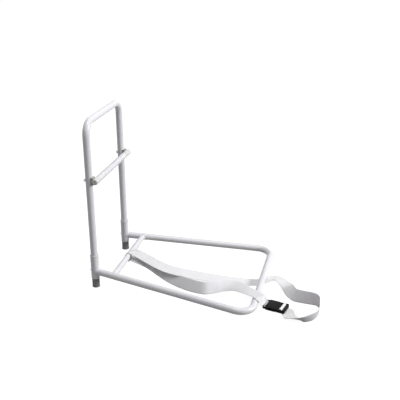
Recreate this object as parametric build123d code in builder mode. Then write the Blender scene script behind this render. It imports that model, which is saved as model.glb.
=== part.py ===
"""Bed assist rail: a welded base that slides under a mattress, a lift-out handle and a safety strap.

Millimetres, +Z up. The handle stands in the plane X = handle_x, the base runs from it towards +X,
and the origin lies on the floor under the middle of the whole object.
"""

from math import atan2, cos, hypot, radians, sin, sqrt
import os

from build123d import *

# ---- Driving dimensions ------------------------------------------------------------------------
tube_od = 25.4
tube_wall = 1.6
handle_spacing = 320.0
handle_height = 624.5
handle_bend_r = 44.0

base_length = 586.0
base_end_width = 506.0
base_bend_r = 52.0
rail_axis_z = 62.0
crossbar_od = 22.2
crossbar_x = 73.0
weld_gap = 0.1

slide_gap = 0.3
sleeve_wall = 2.0
sleeve_od = tube_od + 2 * (slide_gap + sleeve_wall)
sleeve_bottom_z = 35.0
sleeve_top_z = 126.0
collar_height = 4.5

foot_shoulder = 0.5
foot_flange_step = 0.8
foot_od = sleeve_od - 2 * sleeve_wall + 2 * foot_shoulder
foot_flange_od = foot_od + 2 * foot_flange_step
foot_flange_height = 3.0
foot_spigot_length = 15.0
foot_seat_gap = 0.05
leg_seat_gap = 0.5

button_z = 65.0
button_od = 7.2
button_hole_gap = 0.3
button_reach = 5.0
button_head_od = 10.0
button_head_thickness = 1.6
spring_width = 8.0
spring_thickness = 0.8
spring_length = 34.0

grab_z = 410.0
grab_overhang = 15.0
grab_length = handle_spacing + 2 * grab_overhang
grab_core_od = 19.0
grab_wall = 1.5
grip_od = 22.6
cap_lengths = {"near": 28.0, "far": 50.0}
cap_wall = 3.5
cap_round = 4.5
saddle_gap = 1.2
saddle_length = 20.0
saddle_height = 26.0
saddle_bite = 13.0
bolt_d = 6.0
bolt_head_d = 11.0
bolt_head_height = 3.2
nut_af = 10.0
nut_height = 7.0

web_width = 45.0
web_t = 1.8
wrap_length = 64.0
wrap_y = 14.0
loop_lean = 2.0
loop_height = web_width - loop_lean
web_gap = 0.3
part_gap = 0.3

buckle_side = 4.0
buckle_width = web_width + 2 * buckle_side
buckle_height = 12.0
female_length = 38.0
female_wall = 2.2
web_bar_length = 10.0
male_length = 30.0
buckle_turn = -14.0
buckle_x = base_length + 81.0
buckle_y = -171.0
buckle_lift = 3.0
prong_width = 6.5
prong_inset = 10.5
prong_offset = buckle_width / 2 - prong_inset
prong_barb = 3.8
prong_height = 5.5
buckle_gap = 0.7
web_bar_low = 2.0
slot_length = 5.0
male_slots = (9.5, 20.5)
window_start = 12.0
window_length = 15.0
tail_length = 20.0
approach = 16.0

# ---- Worked-out dimensions ---------------------------------------------------------------------
tube_r = tube_od / 2
tube_bore_r = tube_r - tube_wall
crossbar_r = crossbar_od / 2
sleeve_r = sleeve_od / 2
sleeve_bore_r = sleeve_r - sleeve_wall
half_spacing = handle_spacing / 2
half_end = base_end_width / 2

loop_points = [
    (base_length + 26.0, 10.0),
    (base_length + 50.0, 20.0),
    (base_length + 82.0, -46.0),
    (base_length + 114.0, -98.0),
    (base_length + 162.0, -115.0),
    (base_length + 206.0, -118.0),
    (base_length + 220.0, -140.0),
    (base_length + 220.0, -165.0),
]
loop_near_points = [
    (base_length + 220.0, -165.0 - web_gap),
    (base_length + 220.0, -190.0),
    (base_length + 202.0, -222.0),
    (base_length + 170.0, -236.0),
]

x_low = -(sleeve_r + button_reach)
x_high = loop_points[-1][0] + web_t / 2
handle_x = -(x_low + x_high) / 2

end_bar_z = tube_r + web_t + 2 * web_gap
base_drop = rail_axis_z - end_bar_z
base_slope = atan2(base_drop, base_length)
slope_length = hypot(base_length, base_drop)
foot_top_z = sleeve_bottom_z + foot_spigot_length
leg_bottom_z = foot_top_z + leg_seat_gap
top_axis_z = handle_height - tube_r
grab_x = handle_x + tube_r + saddle_gap + grip_od / 2
collar_bottom_z = sleeve_top_z - collar_height
head_face_x = sqrt(tube_bore_r**2 - (button_head_od / 2) ** 2) - part_gap
spring_seat_x = sqrt(tube_bore_r**2 - (spring_width / 2) ** 2) - spring_thickness / 2 - part_gap

base_plane = Plane(
    origin=(handle_x, 0, rail_axis_z),
    x_dir=(cos(base_slope), 0, -sin(base_slope)),
    z_dir=(sin(base_slope), 0, cos(base_slope)),
)
SIDES = {"near": -1, "far": 1}


def place(x, y):
    """Turn a plan point measured from the handle's plane into a point of the part's frame."""
    return (handle_x + x, y)


def rail_half_width(along):
    """Distance from the middle of the base to a rail's axis, at a distance along the base."""
    return half_spacing + (half_end - half_spacing) * along / base_length


def base_z(along):
    """Height of the base's centre plane at a distance along the base."""
    return rail_axis_z - base_drop * along / base_length


def save(builder, label):
    """Label a finished piece and write its file."""
    builder.part.label = label
    export_step(builder.part, f"parts/{label}.step")


os.makedirs("parts", exist_ok=True)

# ---- Handle: one bent tube with a hole for each snap button -------------------------------------
with BuildPart() as handle_frame:
    with BuildLine(Plane.YZ.offset(handle_x)) as handle_path:
        FilletPolyline(
            (-half_spacing, leg_bottom_z),
            (-half_spacing, top_axis_z),
            (half_spacing, top_axis_z),
            (half_spacing, leg_bottom_z),
            radius=handle_bend_r,
        )
    with BuildSketch(Plane.XY.offset(leg_bottom_z)):
        with Locations((handle_x, -half_spacing)):
            Circle(tube_r)
            Circle(tube_bore_r, mode=Mode.SUBTRACT)
    sweep(path=handle_path.wires()[0])
    for side in SIDES.values():
        with Locations(Location((handle_x - tube_r, side * half_spacing, button_z), (0, 90, 0))):
            Cylinder(button_od / 2 + button_hole_gap, 2 * tube_r, mode=Mode.SUBTRACT)
        with Locations(Location((handle_x, side * half_spacing, grab_z), (0, 90, 0))):
            Cylinder(bolt_d / 2 + button_hole_gap, 2 * tube_od, mode=Mode.SUBTRACT)
save(handle_frame, "handle_frame")

# ---- Base: two rails and the end bar, bent from one tube ----------------------------------------
with BuildPart() as base_frame:
    with BuildLine(base_plane) as base_path:
        FilletPolyline(
            (0, -half_spacing),
            (slope_length, -half_end),
            (slope_length, half_end),
            (0, half_spacing),
            radius=base_bend_r,
        )
    start_edge = base_path.edges().sort_by_distance((handle_x, -half_spacing, rail_axis_z))[0]
    start_plane = Plane(origin=start_edge @ 0, z_dir=start_edge % 0)
    with BuildSketch(start_plane):
        Circle(tube_r)
        Circle(tube_bore_r, mode=Mode.SUBTRACT)
    sweep(path=base_path.wires()[0])
    for side in SIDES.values():
        with Locations((handle_x, side * half_spacing, rail_axis_z)):
            Cylinder(sleeve_r + weld_gap, 3 * tube_od, mode=Mode.SUBTRACT)
    split(bisect_by=Plane.YZ.offset(handle_x), keep=Keep.TOP)
save(base_frame, "base_frame")

# ---- Crossbar, coped round both rails -----------------------------------------------------------
cross_half = rail_half_width(crossbar_x)
with BuildPart() as crossbar:
    with BuildSketch(Plane.XZ):
        with Locations((handle_x + crossbar_x, base_z(crossbar_x))):
            Circle(crossbar_r)
            Circle(crossbar_r - tube_wall, mode=Mode.SUBTRACT)
    extrude(amount=cross_half, both=True)
    for side in SIDES.values():
        rail_start = Vector(handle_x, side * half_spacing, rail_axis_z)
        rail_end = Vector(handle_x + base_length, side * half_end, end_bar_z)
        rail_plane = Plane(origin=rail_start, z_dir=rail_end - rail_start)
        with BuildSketch(rail_plane):
            Circle(tube_r + weld_gap)
        extrude(amount=2 * crossbar_x, mode=Mode.SUBTRACT)
save(crossbar, "crossbar")

# ---- Sleeves, collars, feet, snap buttons and springs, one set per leg --------------------------
for name, side in SIDES.items():
    leg_y = side * half_spacing
    with BuildPart() as sleeve:
        with BuildSketch(Plane.XY.offset(sleeve_bottom_z)):
            with Locations((handle_x, leg_y)):
                Circle(sleeve_r)
                Circle(sleeve_bore_r, mode=Mode.SUBTRACT)
        extrude(amount=collar_bottom_z - sleeve_bottom_z)
        with Locations(Location((handle_x - sleeve_r, leg_y, button_z), (0, 90, 0))):
            Cylinder(button_od / 2 + button_hole_gap, 2 * sleeve_r, mode=Mode.SUBTRACT)
    save(sleeve, f"sleeve_{name}")

    with BuildPart() as collar:
        with BuildSketch(Plane.XY.offset(collar_bottom_z)):
            with Locations((handle_x, leg_y)):
                Circle(sleeve_r)
                Circle(sleeve_bore_r, mode=Mode.SUBTRACT)
        extrude(amount=collar_height)
        chamfer(collar.edges().group_by(Axis.Z)[-1].sort_by(SortBy.LENGTH)[-1], 0.8)
    save(collar, f"sleeve_collar_{name}")

    with BuildPart() as foot:
        with BuildSketch():
            with Locations((handle_x, leg_y)):
                Circle(foot_flange_od / 2)
        extrude(amount=foot_flange_height)
        with BuildSketch(Plane.XY.offset(foot_flange_height)):
            with Locations((handle_x, leg_y)):
                Circle(foot_od / 2)
        extrude(amount=sleeve_bottom_z - foot_flange_height)
        with BuildSketch(Plane.XY.offset(sleeve_bottom_z)):
            with Locations((handle_x, leg_y)):
                Circle(sleeve_bore_r - foot_seat_gap)
        extrude(amount=foot_spigot_length)
        fillet(foot.edges().group_by(Axis.Z)[0], 0.8)
    save(foot, f"foot_cap_{name}")

    button_out = sleeve_r + button_reach
    with BuildPart() as button:
        with BuildSketch(Plane.YZ.offset(handle_x - button_out)):
            with Locations((leg_y, button_z)):
                Circle(button_od / 2)
        extrude(amount=button_out - head_face_x)
        with BuildSketch(Plane.YZ.offset(handle_x - head_face_x)):
            with Locations((leg_y, button_z)):
                Circle(button_head_od / 2)
        extrude(amount=button_head_thickness)
        fillet(button.edges().group_by(Axis.X)[0], 1.4)
    save(button, f"snap_button_{name}")

    spring_x = handle_x - head_face_x + button_head_thickness + spring_thickness / 2 + part_gap
    with BuildPart() as spring:
        with BuildSketch(Plane.XZ.offset(-leg_y)):
            with BuildLine():
                FilletPolyline(
                    (spring_x, button_z - button_head_od / 2),
                    (spring_x, button_z + button_head_od / 2),
                    (handle_x + spring_thickness, button_z + spring_length),
                    (handle_x + spring_seat_x, button_z - button_head_od / 2),
                    radius=3.0,
                )
            trace(line_width=spring_thickness)
        extrude(amount=spring_width / 2, both=True)
    save(spring, f"snap_spring_{name}")

# ---- Grab bar: steel core, soft grip, end caps, saddles and through bolts -----------------------
core_r = grab_core_od / 2
grip_r = grip_od / 2
bolt_hole_r = bolt_d / 2 + part_gap
core_half = grab_length / 2 - cap_wall - part_gap
with BuildPart() as grab_core:
    with BuildSketch(Plane.XZ):
        with Locations((grab_x, grab_z)):
            Circle(core_r)
            Circle(core_r - grab_wall, mode=Mode.SUBTRACT)
    extrude(amount=core_half, both=True)
    for side in SIDES.values():
        with Locations(Location((grab_x, side * half_spacing, grab_z), (0, 90, 0))):
            Cylinder(bolt_hole_r, 2 * grip_od, mode=Mode.SUBTRACT)
save(grab_core, "grab_bar_core")

grip_low = -grab_length / 2 + cap_lengths["near"]
grip_high = grab_length / 2 - cap_lengths["far"]
with BuildPart() as grab_grip:
    with BuildSketch(Plane.XZ.offset(-grip_low)):
        with Locations((grab_x, grab_z)):
            Circle(grip_r)
            Circle(core_r + part_gap / 2, mode=Mode.SUBTRACT)
    extrude(amount=grip_low - grip_high)
save(grab_grip, "grab_bar_grip")

head_seat_x = sqrt(grip_r**2 - (bolt_head_d / 2) ** 2) - part_gap
for name, side in SIDES.items():
    end_y = side * grab_length / 2
    length = cap_lengths[name]
    leg_y = side * half_spacing
    with BuildPart() as grab_cap:
        with Locations(Location((grab_x, end_y - side * length / 2, grab_z), (90, 0, 0))):
            Cylinder(grip_r, length)
        fillet(grab_cap.edges().group_by(Axis.Y)[0 if side < 0 else -1], cap_round)
        with Locations(Location((grab_x, end_y - side * (cap_wall + length / 2), grab_z), (90, 0, 0))):
            Cylinder(core_r + part_gap / 2, length, mode=Mode.SUBTRACT)
        with Locations(Location((grab_x, leg_y, grab_z), (0, 90, 0))):
            Cylinder(bolt_hole_r, 2 * grip_od, mode=Mode.SUBTRACT)
        with Locations(Location((grab_x + head_seat_x + grip_r, leg_y, grab_z), (0, 90, 0))):
            Cylinder(bolt_head_d / 2 + part_gap, 2 * grip_r, mode=Mode.SUBTRACT)
    save(grab_cap, f"grab_bar_cap_{name}")

    with BuildPart() as saddle:
        with Locations(((handle_x + grab_x) / 2, leg_y, grab_z)):
            Box(grab_x - handle_x - saddle_bite, saddle_length, saddle_height)
        with Locations((handle_x, leg_y, grab_z)):
            Cylinder(tube_r + weld_gap, 2 * saddle_height, mode=Mode.SUBTRACT)
        with Locations(Location((grab_x, leg_y, grab_z), (90, 0, 0))):
            Cylinder(grip_r + weld_gap, 2 * saddle_length, mode=Mode.SUBTRACT)
        with Locations(Location(((handle_x + grab_x) / 2, leg_y, grab_z), (0, 90, 0))):
            Cylinder(bolt_hole_r, 2 * saddle_length, mode=Mode.SUBTRACT)
    save(saddle, f"grab_saddle_{name}")

bolt_spots = [(side * half_spacing, grab_z) for side in SIDES.values()]
head_x = grab_x + head_seat_x + weld_gap
nut_x = handle_x - tube_r - weld_gap
bolt_end_x = nut_x - nut_height * 0.7
with BuildPart() as grab_bolts:
    with BuildSketch(Plane.YZ.offset(bolt_end_x)):
        with Locations(*bolt_spots):
            Circle(bolt_d / 2)
    extrude(amount=head_x - bolt_end_x)
    with BuildSketch(Plane.YZ.offset(head_x)):
        with Locations(*bolt_spots):
            Circle(bolt_head_d / 2)
    extrude(amount=bolt_head_height)
    fillet(grab_bolts.edges().group_by(Axis.X)[-1], bolt_head_height / 2)
save(grab_bolts, "grab_bolts")

with BuildPart() as grab_nuts:
    with BuildSketch(Plane.YZ.offset(nut_x - nut_height)):
        with Locations(*bolt_spots):
            RegularPolygon(nut_af / 2, 6, major_radius=False)
    extrude(amount=nut_height)
    with BuildSketch(Plane.YZ.offset(bolt_end_x - part_gap)):
        with Locations(*bolt_spots):
            Circle(bolt_d / 2 + weld_gap / 2)
    extrude(amount=nut_height, mode=Mode.SUBTRACT)
    chamfer(grab_nuts.edges().group_by(Axis.X)[0], 0.9)
save(grab_nuts, "grab_nuts")

# ---- Strap: a wrap round the crossbar, two runs, and a loop that ends in the buckle -------------
wrap_r = crossbar_r + web_gap
with BuildPart() as strap_wrap:
    with BuildSketch(Plane.XZ.offset(-wrap_y)):
        with Locations((handle_x + crossbar_x, base_z(crossbar_x))):
            Circle(wrap_r + web_t)
            Circle(wrap_r, mode=Mode.SUBTRACT)
    extrude(amount=wrap_length / 2, both=True)
save(strap_wrap, "strap_wrap")


def flat_strap(side_points, side_radius, plan_points, plan_radius):
    """A strap lying on its side profile, cut to the band that its plan route sweeps."""
    with BuildPart() as strap:
        with BuildSketch(Plane.XZ):
            with BuildLine():
                FilletPolyline(*[(handle_x + x, z) for x, z in side_points], radius=side_radius)
            trace(line_width=web_t)
        extrude(amount=half_end, both=True)
        with BuildSketch():
            with BuildLine():
                FilletPolyline(*[place(x, y) for x, y in plan_points], radius=plan_radius)
            trace(line_width=web_width)
        extrude(amount=rail_axis_z * 2, mode=Mode.INTERSECT)
    return strap


def standing_strap(plan_points, plan_radius, low_edge, high_edge):
    """A strap standing on its edge along a plan route, between a low and a high side line."""
    with BuildPart() as strap:
        with BuildSketch():
            with BuildLine():
                FilletPolyline(*[place(x, y) for x, y in plan_points], radius=plan_radius)
            trace(line_width=web_t)
        extrude(amount=rail_axis_z * 2)
        with BuildSketch(Plane.XZ):
            outline = low_edge + high_edge[::-1]
            Polygon(*[(handle_x + x, z) for x, z in outline], align=None)
        extrude(amount=half_end, both=True, mode=Mode.INTERSECT)
    return strap


floor_z = web_t / 2
over_bar_z = end_bar_z + tube_r + web_gap + web_t
wrap_end_x = crossbar_x + wrap_r + web_t + part_gap
upper_end_x = base_length + 26.0
strap_upper_run = flat_strap(
    [(wrap_end_x, rail_axis_z), (base_length - 31.0, floor_z), (upper_end_x, floor_z)],
    150.0,
    [
        (wrap_end_x - web_width, 25.0),
        (crossbar_x + 67.0, -26.0),
        (crossbar_x + 139.0, -56.0),
        (base_length - 241.0, -57.0),
        (base_length - 154.0, -40.0),
        (base_length - 66.0, -15.0),
        (upper_end_x, 10.0),
    ],
    110.0,
)
save(strap_upper_run, "strap_upper_run")

lower_end_x = base_length - 41.0
near_edge = web_width / 2
strap_lower_run = standing_strap(
    [
        (wrap_end_x, -near_edge - 1.5),
        (crossbar_x + 76.0, -near_edge - 23.5),
        (crossbar_x + 140.0, -near_edge - 51.5),
        (base_length - 296.0, -near_edge - 81.5),
        (base_length - 219.0, -near_edge - 104.5),
        (base_length - 184.0, -near_edge - 106.5),
        (base_length - 120.0, -near_edge - 80.5),
        (base_length - 84.0, -near_edge - 78.5),
        (lower_end_x, -near_edge - 95.5),
    ],
    60.0,
    [
        (wrap_end_x, 24.0),
        (crossbar_x + 140.0, 12.0),
        (base_length - 296.0, 2.0),
        (base_length - 126.0, 2.0),
        (lower_end_x, 18.0),
    ],
    [
        (wrap_end_x, web_width + 3.0),
        (crossbar_x + 127.0, web_width - 5.0),
        (base_length - 286.0, web_width + 2.0),
        (base_length - 126.0, web_width + 2.0),
        (lower_end_x, 36.0),
    ],
)
save(strap_lower_run, "strap_lower_run")

turn = radians(buckle_turn)
buckle_plane = Plane(
    origin=(handle_x + buckle_x, buckle_y, buckle_lift),
    x_dir=(cos(turn), sin(turn), 0),
    z_dir=(0, 0, 1),
)
rear = female_length + web_bar_length + part_gap
rear_x = buckle_x - rear * cos(turn)
rear_y = buckle_y - rear * sin(turn)
buckle_web_z = buckle_lift + buckle_height / 2
strap_over_bar = flat_strap(
    [(lower_end_x + part_gap, 22.0), (base_length, over_bar_z + web_t), (base_length + 46.0, buckle_web_z)],
    14.0,
    [
        (lower_end_x - web_width / 2, -78.0),
        (rear_x - approach * cos(turn), rear_y - approach * sin(turn)),
        (rear_x, rear_y),
    ],
    web_width / 2 + web_t,
)
save(strap_over_bar, "strap_over_bar")

strap_loop_far = standing_strap(
    [(upper_end_x + part_gap, 10.0)] + loop_points[1:],
    22.0,
    [(upper_end_x, 0.0), (x_high, 0.0)],
    [(upper_end_x, 20.0), (base_length + 74.0, loop_height), (x_high, loop_height)],
)
save(strap_loop_far, "strap_loop_far")

# ---- Side-release buckle ------------------------------------------------------------------------
half_width = buckle_width / 2
cavity_low = female_wall + buckle_gap
cavity_height = buckle_height - 2 * cavity_low
prong_low = (buckle_height - prong_height) / 2
slot_half = (web_width + 2.0) / 2
window_x = -(window_start + window_length / 2)
with BuildPart() as buckle_female:
    with BuildSketch(buckle_plane):
        with Locations((-female_length / 2, 0)):
            Rectangle(female_length, buckle_width)
    extrude(amount=buckle_height)
    corner_edges = buckle_female.edges().filter_by(Axis.Z)
    fillet(corner_edges, 3.0)
    with BuildSketch(buckle_plane.offset(web_bar_low)):
        with Locations((-female_length - web_bar_length / 2 + female_wall, 0)):
            RectangleRounded(web_bar_length + 2 * female_wall, buckle_width - 2, 2.0)
    extrude(amount=buckle_height - 2 * web_bar_low)
    with BuildSketch(buckle_plane):
        with Locations((-female_length - web_bar_length / 2, 0)):
            Rectangle(slot_length, 2 * slot_half)
    extrude(amount=buckle_height, mode=Mode.SUBTRACT)
    with BuildSketch(buckle_plane.offset(cavity_low)):
        with Locations((-(female_length - female_wall) / 2, 0)):
            Rectangle(female_length - female_wall, buckle_width - 2 * female_wall)
        with Locations((window_x, 0)):
            Rectangle(window_length, 2 * buckle_width)
    extrude(amount=cavity_height, mode=Mode.SUBTRACT)
save(buckle_female, "buckle_female")

male_start = part_gap
tongue_length = female_length - 4 * female_wall
with BuildPart() as buckle_male:
    with BuildSketch(buckle_plane.offset(part_gap)):
        with Locations((male_start + male_length / 2, 0)):
            RectangleRounded(male_length, buckle_width, 3.0)
    extrude(amount=buckle_height - 2 * part_gap)
    with BuildSketch(buckle_plane):
        with Locations(*[(male_start + spot, 0) for spot in male_slots]):
            Rectangle(slot_length, 2 * slot_half)
    extrude(amount=buckle_height, mode=Mode.SUBTRACT)
    with BuildSketch(buckle_plane.offset(prong_low)):
        with Locations((-tongue_length / 2 + male_start, 0)):
            Rectangle(tongue_length + 2 * male_start, prong_width)
    extrude(amount=prong_height)
save(buckle_male, "buckle_male")

for name, side in SIDES.items():
    inner = side * (prong_offset - prong_width / 2)
    outer = side * (prong_offset + prong_width / 2)
    barb = side * (prong_offset + prong_width / 2 + prong_barb)
    catch_x = -(window_start + part_gap)
    tip_x = -(window_start + window_length - part_gap)
    with BuildPart() as prong:
        with BuildSketch(buckle_plane.offset(prong_low)):
            Polygon(
                (-part_gap, inner),
                (-part_gap, outer),
                (catch_x, outer),
                (catch_x, barb),
                (catch_x - prong_width, barb),
                (tip_x, outer),
                (tip_x, inner),
                align=None,
            )
        extrude(amount=prong_height)
        tip = buckle_plane.from_local_coords((tip_x, 0, 0))
        tip_edges = prong.edges().filter_by(Axis.Z).sort_by_distance(tip)
        fillet(tip_edges[0:2], 1.5)
    save(prong, f"buckle_prong_{name}")

male_end = male_start + male_length + part_gap
tail_x = buckle_x + male_end * cos(turn)
tail_y = buckle_y + male_end * sin(turn)
tail_out_x = tail_x + tail_length * cos(turn)
tail_out_y = tail_y + tail_length * sin(turn)
near_route = loop_near_points + [(tail_out_x, tail_out_y)]
with BuildPart() as strap_loop_near:
    with BuildSketch():
        with BuildLine():
            FilletPolyline(*[place(x, y) for x, y in near_route], radius=22.0)
        trace(line_width=web_t)
    extrude(amount=loop_height)
    with BuildSketch(Plane.XZ):
        Polygon(
            (handle_x + tail_out_x, 0),
            (handle_x + x_high, 0),
            (handle_x + x_high, loop_height),
            (handle_x + (tail_out_x + x_high) / 2, loop_height),
            (handle_x + tail_out_x, buckle_web_z),
            align=None,
        )
    extrude(amount=half_end, both=True, mode=Mode.INTERSECT)
    with BuildSketch(buckle_plane.offset(buckle_height / 2 - floor_z)):
        with Locations((male_end + tail_length / 2 + web_t, 0)):
            Rectangle(tail_length + 2 * web_t, web_width)
    extrude(amount=web_t)
save(strap_loop_near, "strap_loop_near")
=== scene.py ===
"""Looks of the bed assist rail: finishes, webbing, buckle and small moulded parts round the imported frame."""

import logging
import math
from dataclasses import dataclass
from enum import Enum

import bmesh
import bpy
from mathutils import Matrix, Vector
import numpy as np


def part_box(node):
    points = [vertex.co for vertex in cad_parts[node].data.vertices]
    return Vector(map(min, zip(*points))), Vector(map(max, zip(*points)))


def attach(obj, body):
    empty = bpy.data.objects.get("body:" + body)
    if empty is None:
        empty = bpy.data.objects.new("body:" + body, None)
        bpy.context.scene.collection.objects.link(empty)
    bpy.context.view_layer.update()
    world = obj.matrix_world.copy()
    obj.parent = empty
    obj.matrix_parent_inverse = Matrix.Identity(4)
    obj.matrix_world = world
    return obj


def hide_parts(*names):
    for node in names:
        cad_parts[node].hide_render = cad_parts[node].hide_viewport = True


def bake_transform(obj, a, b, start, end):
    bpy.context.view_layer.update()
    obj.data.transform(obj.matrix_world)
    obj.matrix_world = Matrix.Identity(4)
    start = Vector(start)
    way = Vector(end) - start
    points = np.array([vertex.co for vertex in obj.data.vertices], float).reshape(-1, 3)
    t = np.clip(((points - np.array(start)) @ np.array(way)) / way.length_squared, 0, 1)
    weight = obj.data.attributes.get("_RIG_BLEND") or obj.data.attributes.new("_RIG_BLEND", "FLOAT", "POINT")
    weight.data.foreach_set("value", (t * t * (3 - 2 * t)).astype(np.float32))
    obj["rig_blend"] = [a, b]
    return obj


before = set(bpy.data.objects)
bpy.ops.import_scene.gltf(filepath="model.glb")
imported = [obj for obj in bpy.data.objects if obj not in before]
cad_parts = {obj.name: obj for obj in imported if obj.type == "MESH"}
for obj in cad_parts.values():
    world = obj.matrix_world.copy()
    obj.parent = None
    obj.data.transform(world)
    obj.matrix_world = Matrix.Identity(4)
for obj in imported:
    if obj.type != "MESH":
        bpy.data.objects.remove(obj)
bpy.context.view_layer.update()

log = logging.getLogger("bed_rail")
MM = 0.001
WEB_MM = 45.0        # width of the webbing, in millimetres


# ---- Node trees ---------------------------------------------------------------------------------
class Shade:
    """One material's node tree, with short ways to add and join its nodes."""

    def __init__(self, name: str, colour: tuple[float, float, float], roughness: float, metallic: float = 0.0):
        """Start a material with one Principled shader.

        Args:
            name: The material's name.
            colour: Linear base colour.
            roughness: Base roughness.
            metallic: 1 for bare metal.
        """
        self.material = bpy.data.materials.new(f"look_{name}")
        self.material.use_nodes = True
        self.tree = self.material.node_tree
        self.tree.nodes.clear()
        self.output = self.add("ShaderNodeOutputMaterial")
        self.shader = self.add("ShaderNodeBsdfPrincipled")
        self.shader.inputs["Base Color"].default_value = (*colour, 1)
        self.shader.inputs["Roughness"].default_value = roughness
        self.shader.inputs["Metallic"].default_value = metallic
        self.join(self.shader.outputs[0], self.output.inputs[0])

    def add(self, kind: str, **settings: object) -> bpy.types.Node:
        """Add a node and set its properties."""
        node = self.tree.nodes.new(kind)
        for key, value in settings.items():
            setattr(node, key, value)
        return node

    def join(self, out: bpy.types.NodeSocket, into: bpy.types.NodeSocket) -> None:
        """Link two sockets."""
        self.tree.links.new(out, into)

    def place(self, scale: tuple[float, float, float] = (1, 1, 1)) -> bpy.types.NodeSocket:
        """Object coordinates, stretched by a scale.

        Args:
            scale: Factor along each axis.

        Returns:
            The vector's socket.
        """
        source = self.add("ShaderNodeTexCoord")
        mapping = self.add("ShaderNodeMapping")
        mapping.inputs["Scale"].default_value = scale
        self.join(source.outputs["Object"], mapping.inputs["Vector"])
        return mapping.outputs[0]

    def noise(self, vector: bpy.types.NodeSocket, scale: float, detail: float = 3.0) -> bpy.types.NodeSocket:
        """Noise read at a vector.

        Args:
            vector: Where to read it.
            scale: Its scale.
            detail: Its octaves.

        Returns:
            The noise's value.
        """
        node = self.add("ShaderNodeTexNoise")
        node.inputs["Scale"].default_value = scale
        node.inputs["Detail"].default_value = detail
        self.join(vector, node.inputs["Vector"])
        return node.outputs[0]

    def sum(self, kind: str, first: object, second: object = 0.0, third: object = 0.0) -> bpy.types.NodeSocket:
        """A Math node of up to three inputs.

        Args:
            kind: The node's operation.
            first: A socket or a number.
            second: A socket or a number.
            third: A socket or a number.

        Returns:
            The result's socket.
        """
        node = self.add("ShaderNodeMath", operation=kind)
        for socket, value in zip(node.inputs, (first, second, third)):
            if isinstance(value, bpy.types.NodeSocket):
                self.join(value, socket)
            else:
                socket.default_value = value
        return node.outputs[0]

    def ramp(self, value: bpy.types.NodeSocket, low: float, high: float, out_low: float = 0.0,
             out_high: float = 1.0) -> bpy.types.NodeSocket:
        """A clamped straight-line ramp.

        Args:
            value: What to map.
            low: Where the ramp starts.
            high: Where it ends.
            out_low: Result at its start.
            out_high: Result at its end.

        Returns:
            The result's socket.
        """
        node = self.add("ShaderNodeMapRange")
        for socket, number in zip(node.inputs[1:5], (low, high, out_low, out_high)):
            socket.default_value = number
        self.join(value, node.inputs[0])
        return node.outputs[0]

    def blend(self, share: bpy.types.NodeSocket, first: tuple, second: tuple) -> bpy.types.NodeSocket:
        """A colour between two colours.

        Args:
            share: 0 for the first colour, 1 for the second.
            first: Linear colour.
            second: Linear colour.

        Returns:
            The colour's socket.
        """
        node = self.add("ShaderNodeMix", data_type="RGBA")
        node.inputs["A"].default_value = (*first, 1)
        node.inputs["B"].default_value = (*second, 1)
        self.join(share, node.inputs["Factor"])
        return node.outputs["Result"]

    def bump(self, height: bpy.types.NodeSocket, distance: float, strength: float = 1.0) -> None:
        """Drive the shader's normal by a height.

        Args:
            height: The height, 0 to 1.
            distance: What a height of 1 stands for, in metres.
            strength: Share of the effect.
        """
        node = self.add("ShaderNodeBump")
        node.inputs["Strength"].default_value = strength
        node.inputs["Distance"].default_value = distance
        self.join(height, node.inputs["Height"])
        self.join(node.outputs[0], self.shader.inputs["Normal"])


# ---- Finishes -----------------------------------------------------------------------------------
@dataclass(frozen=True)
class PowderCoat:
    """White powder coat with a fine orange peel, faint scuffs and rub marks above the sockets."""

    colour: tuple[float, float, float] = (0.76, 0.76, 0.79)
    scuff: tuple[float, float, float] = (0.66, 0.66, 0.69)
    rub_low: float = 0.126
    rub_high: float = 0.185

    def build(self) -> bpy.types.Material:
        """Make the material."""
        shade = Shade("powder_coat", self.colour, 0.32)
        at = shade.place()
        drift = shade.noise(at, 9.0)
        scuffs = shade.ramp(shade.noise(shade.place((18, 18, 5)), 12.0, 6.0), 0.64, 0.74)
        height = shade.add("ShaderNodeSeparateXYZ")
        shade.join(at, height.inputs[0])
        low = shade.ramp(height.outputs["Z"], self.rub_low, self.rub_high, 1.0, 0.0)
        above = shade.ramp(height.outputs["Z"], self.rub_low - 0.001, self.rub_low, 0.0, 1.0)
        lines = shade.ramp(shade.noise(shade.place((900, 900, 30)), 1.0, 2.0), 0.6, 0.7)
        rubs = shade.sum("MULTIPLY", shade.sum("MULTIPLY", low, above), lines)
        worn = shade.sum("MAXIMUM", shade.sum("MULTIPLY", scuffs, 0.35), shade.sum("MULTIPLY", rubs, 0.6))
        tint = shade.sum("ADD", worn, shade.ramp(drift, 0.3, 0.7, 0.0, 0.12))
        shade.join(shade.blend(tint, self.colour, self.scuff), shade.shader.inputs["Base Color"])
        rough = shade.sum("ADD", shade.ramp(drift, 0.3, 0.7, 0.27, 0.37), shade.sum("MULTIPLY", worn, 0.25))
        shade.join(rough, shade.shader.inputs["Roughness"])
        shade.bump(shade.noise(at, 1100.0, 2.0), 0.00012, 0.35)
        return shade.material


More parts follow.
